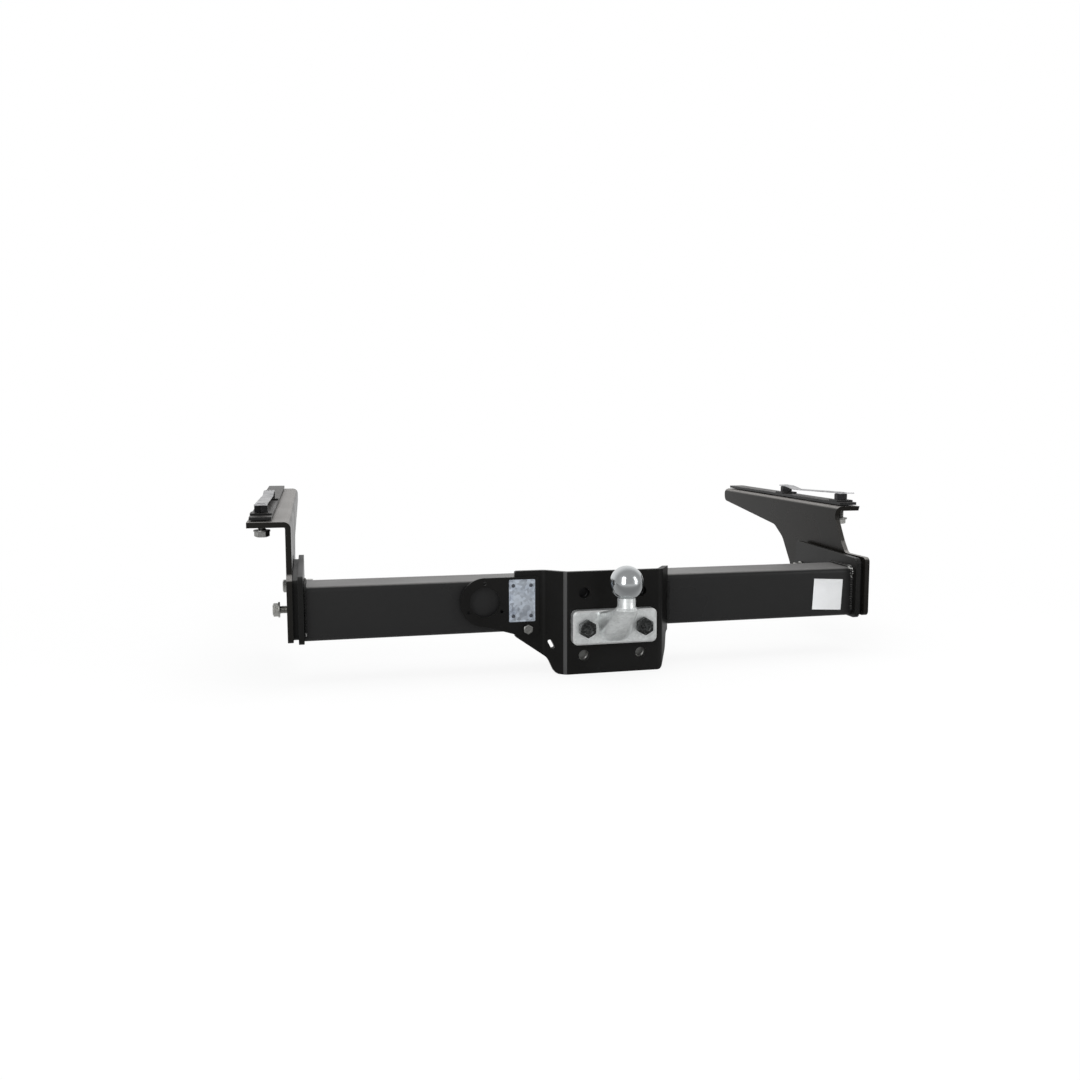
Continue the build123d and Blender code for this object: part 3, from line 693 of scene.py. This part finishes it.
# Model, side, kind, x of the lower and of the upper one, and the way that its +Z points along x
armFasteners = (
    (armBolt, "right", "Bolts", (0.4480, 0.4480), 1),
    (armBolt, "left", "Bolts", (-0.4925, -0.4790), -1),
    (armNut, "right", "Nuts", (0.4200, 0.4200), -1),
    (armNut, "left", "Nuts", (-0.4510, -0.4510), 1))
for model, side, kind, seats, way in armFasteners:
    places = [(x, y, z) for x, (y, z) in zip(seats, armRows)]
    placeCopies(model, places, (way, 0, 0), side + "Arm" + kind, brightZinc,
                side + "_arm_" + kind.lower())
for side, (x, rows, seat) in railRows.items():
    heads = [(x, y, seat) for y in rows]
    nuts = [(x, y, railNutSeat) for y in rows]
    placeCopies(railBolt, heads, (0, 0, -1), side + "RailBolts", dullZinc,
                side + "_rail_bolts")
    placeCopies(armNut, nuts, (0, 0, 1), side + "RailNuts", blackNut,
                side + "_rail_nuts")
placeCopies(ballBolt, [(x, fronts["flange"], bracketRows[1]) for x in bracketColumns], (0, -1, 0),
            "ballBolts", darkBolt, "ball_bolts")
bracketNuts = placeCopies(capNut, [(x, bracketBack, z) for x in bracketColumns for z in bracketRows],
                          (0, 1, 0), "bracketNuts", dullZinc, "bracket_nuts")
# The upper nuts are painted darker than the rest: painted shade in the upper holes
bracketNuts.data.materials.append(blackNut)
for face in bracketNuts.data.polygons:
    face.material_index = int(face.center.z > shadedNutsFrom)
placeCopies(wingBolt, [wingPlace], (0, -1, 0), "wingBolt", dullZinc, "socket_bolt")
placeCopies(rivet, rivetPlaces, (0, -1, 0), "typePlateRivets", rivetMetal,
            "type_plate_rivets")
for model in (armBolt, railBolt, ballBolt, wingBolt, armNut, capNut, rivet):
    bpy.data.objects.remove(model)
print("fasteners placed")


# Type plate: sheet with rounded corners and a stamped border, bare inside
typePlate = {"corner": 0.0015, "cornerEdge": 0.0008, "rim": 0.0016, "slope": 0.0004, "flat": 0.0007,
             "stamp": 0.0003, "softEdge": 0.00012, "sharperThan": 30, "smooth": 32}
low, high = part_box("type_plate")
plate = addSolid(bpy.ops.mesh.primitive_cube_add, high - low, size=1, location=(low + high) / 2)
pickFaces(plate, lambda place, normal: normal.y < -0.9)
for width, depth in (("rim", 0), ("slope", -typePlate["stamp"]), ("flat", 0), ("slope", typePlate["stamp"])):
    bpy.ops.mesh.inset(thickness=typePlate[width], depth=depth)
leaveEdit()
pickEdges(plate, lambda a, b: abs(a.y - b.y) > typePlate["cornerEdge"])
bpy.ops.mesh.bevel(offset=typePlate["corner"], segments=5)
leaveEdit()
useModifier(plate, "BEVEL", width=typePlate["softEdge"], segments=2, limit_method="ANGLE",
            angle_limit=math.radians(typePlate["sharperThan"]))
smoothUpTo(plate, typePlate["smooth"])
settle(plate, "typePlateSheet", (plateAluminium,), "type_plate")
print("type plate finished")


# Label: thin film, a little wavy
labelSheet = {"cuts": 36, "wave": 0.00022, "crease": 0.014, "thick": 0.00016, "lift": 0.0001,
              "tilt": -3.0, "wide": 0.052, "tall": 0.051, "smooth": 40}
low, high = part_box("label")
centre = (low + high) / 2
bpy.ops.object.select_all(action="DESELECT")
bpy.ops.mesh.primitive_grid_add(x_subdivisions=labelSheet["cuts"], y_subdivisions=labelSheet["cuts"], size=1,
                                location=(centre.x, high.y - labelSheet["lift"], centre.z),
                                rotation=(math.radians(90), 0, 0))
film = bpy.context.active_object
film.scale = (labelSheet["wide"], labelSheet["tall"], 1)
bpy.ops.object.transform_apply(location=False, rotation=False, scale=True)
film.rotation_euler = (math.radians(90), math.radians(-labelSheet["tilt"]), 0)
bpy.ops.object.transform_apply(location=True, rotation=True, scale=True)
creases = bpy.data.textures.new("creases", "CLOUDS")
creases.noise_scale = labelSheet["crease"]
useModifier(film, "DISPLACE", texture=creases, texture_coords="LOCAL", strength=labelSheet["wave"],
            mid_level=0.0)
useModifier(film, "SOLIDIFY", thickness=labelSheet["thick"], offset=0)
smoothUpTo(film, labelSheet["smooth"])
settle(film, "labelFilmSheet", (labelFilm,), "label")
print("label finished")


# Floor, light and camera

# Glow is the floor's own share of light near the object, and the rest there is lit and takes the shadow.
# The three strengths are what reflections see: far in front, close in front, and behind the object
stage = {"size": 60.0, "gap": 0.0005, "near": 0.7, "far": 1.6, "glow": 0.88,
         "farFront": 0.62, "front": 0.20, "behind": 1.0,
         "frontFrom": (-0.8, -0.25), "behindFrom": (-0.1, 0.5),
         "grainScale": 30.0, "tones": ((0.90, 0.90, 0.90), (0.93, 0.93, 0.93)), "rough": 0.9, "specular": 0.1}


def paleMaterial():
    material = bpy.data.materials.new("paleFloor")
    material.use_nodes = True
    tree = material.node_tree
    shader = next(n for n in tree.nodes if n.type == "BSDF_PRINCIPLED")
    output = next(n for n in tree.nodes if n.type == "OUTPUT_MATERIAL")
    coords = addNode(tree, "ShaderNodeTexCoord").outputs["Object"]
    grain = noise(tree, coords, stage["grainScale"], 4.0)
    tone = mixColours(tree, remap(tree, grain, 0.3, 0.7, 0.0, 1.0), *stage["tones"])
    tree.links.new(tone, shader.inputs["Base Color"])
    shader.inputs["Roughness"].default_value = stage["rough"]
    shader.inputs["Specular IOR Level"].default_value = stage["specular"]
    glow = addNode(tree, "ShaderNodeEmission")
    path = addNode(tree, "ShaderNodeLightPath")
    seen = sums(tree, "MAXIMUM", path.outputs["Is Camera Ray"], path.outputs["Is Glossy Ray"])
    seen = sums(tree, "MAXIMUM", seen, path.outputs["Is Transmission Ray"])
    far = addNode(tree, "ShaderNodeVectorMath", operation="LENGTH")
    tree.links.new(coords, far.inputs[0])
    split = addNode(tree, "ShaderNodeSeparateXYZ")
    tree.links.new(coords, split.inputs[0])
    beyond = remap(tree, split.outputs["Y"], *stage["behindFrom"], stage["front"], stage["behind"])
    before = remap(tree, split.outputs["Y"], *stage["frontFrom"], stage["farFront"], stage["front"])
    strength = sums(tree, "MAXIMUM", before, beyond)
    tree.links.new(sums(tree, "MAXIMUM", path.outputs["Is Camera Ray"], strength), glow.inputs["Strength"])
    glowing = remap(tree, far.outputs["Value"], stage["near"], stage["far"], stage["glow"], 1.0)
    both = addNode(tree, "ShaderNodeMixShader")
    tree.links.new(sums(tree, "MULTIPLY", seen, glowing), both.inputs[0])
    tree.links.new(shader.outputs[0], both.inputs[1])
    tree.links.new(glow.outputs[0], both.inputs[2])
    tree.links.new(both.outputs[0], output.inputs["Surface"])
    return material


lowest = min(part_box(name)[0].z for name in cadNodes)
bpy.ops.object.select_all(action="DESELECT")
bpy.ops.mesh.primitive_plane_add(size=stage["size"], location=(0, 0, lowest - stage["gap"]))
floor = bpy.context.active_object
floor.name = "paleFloor"
floor.data.materials.append(paleMaterial())

# White for the camera. Reflections see white behind the object and grey in front of it
studio = {"front": 0.40, "back": 1.0, "turn": (-0.5, 0.5), "glossFront": 0.45, "glossTurn": (0.10, 0.70)}
world = bpy.data.worlds.new("studio")
scene.world = world
world.use_nodes = True
tree = world.node_tree
sky = next(n for n in tree.nodes if n.type == "BACKGROUND")
split = addNode(tree, "ShaderNodeSeparateXYZ")
tree.links.new(addNode(tree, "ShaderNodeTexCoord").outputs["Generated"], split.inputs[0])
path = addNode(tree, "ShaderNodeLightPath")
soft = remap(tree, split.outputs["Y"], *studio["turn"], studio["front"], studio["back"])
mirrored = remap(tree, split.outputs["Y"], *studio["glossTurn"], studio["glossFront"], 1.0)
seen = sums(tree, "MAXIMUM", path.outputs["Is Camera Ray"], path.outputs["Is Transmission Ray"])
seen = sums(tree, "MAXIMUM", seen, sums(tree, "MULTIPLY", path.outputs["Is Glossy Ray"], mirrored))
lit = sums(tree, "MULTIPLY", soft, sums(tree, "SUBTRACT", 1.0, path.outputs["Is Glossy Ray"]))
tree.links.new(sums(tree, "MAXIMUM", lit, seen), sky.inputs["Strength"])
sky.inputs["Color"].default_value = (1, 1, 1, 1)

lampAim = Vector((0, 0.1, -0.05))
lamps = {
    "leftKey": {"place": (-1.55, -2.05, 0.80), "wide": 1.0, "tall": 2.7, "power": 32.0, "shine": True},
    "rightFill": {"place": (1.75, -1.45, 0.45), "wide": 0.5, "tall": 2.3, "power": 15.0, "shine": True},
    "topLight": {"place": (0.0, 0.3, 2.2), "wide": 2.0, "tall": 2.0, "power": 24.0, "shine": False},
}
for name, lamp in lamps.items():
    bpy.ops.object.light_add(type="AREA", location=lamp["place"])
    light = bpy.context.active_object
    light.name = name
    light.data.shape = "RECTANGLE"
    light.data.size, light.data.size_y = lamp["wide"], lamp["tall"]
    light.data.energy = lamp["power"]
    light.visible_glossy = lamp["shine"]
    light.rotation_euler = (lampAim - light.location).to_track_quat("-Z", "Y").to_euler()

# The camera, as solved from the photograph
view = {"place": (-0.43566, -1.44325, 0.23148), "yaw": 15.453, "pitch": 6.286, "roll": 0.251,
        "lens": 34.906, "sensor": 36.0, "shift": (-0.05794, -0.00198), "clip": (0.05, 120.0)}
yaw, pitch, roll = (math.radians(view[label]) for label in ("yaw", "pitch", "roll"))
level = Vector((math.sin(yaw), math.cos(yaw), 0))
across = Vector((math.cos(yaw), -math.sin(yaw), 0))
up = Vector((0, 0, 1))
ahead = level * math.cos(pitch) - up * math.sin(pitch)
lift = up * math.cos(pitch) + level * math.sin(pitch)
rightward = across * math.cos(roll) + lift * math.sin(roll)
upward = lift * math.cos(roll) - across * math.sin(roll)
bpy.ops.object.camera_add()
camera = bpy.context.active_object
facing = Matrix((rightward, upward, -ahead)).transposed().to_4x4()
camera.matrix_world = Matrix.Translation(view["place"]) @ facing
camera.data.lens = view["lens"]
camera.data.sensor_width = view["sensor"]
camera.data.shift_x, camera.data.shift_y = view["shift"]
camera.data.clip_start, camera.data.clip_end = view["clip"]
scene.camera = camera
scene.view_settings.view_transform = "Standard"
print("stage, lamps and camera set")
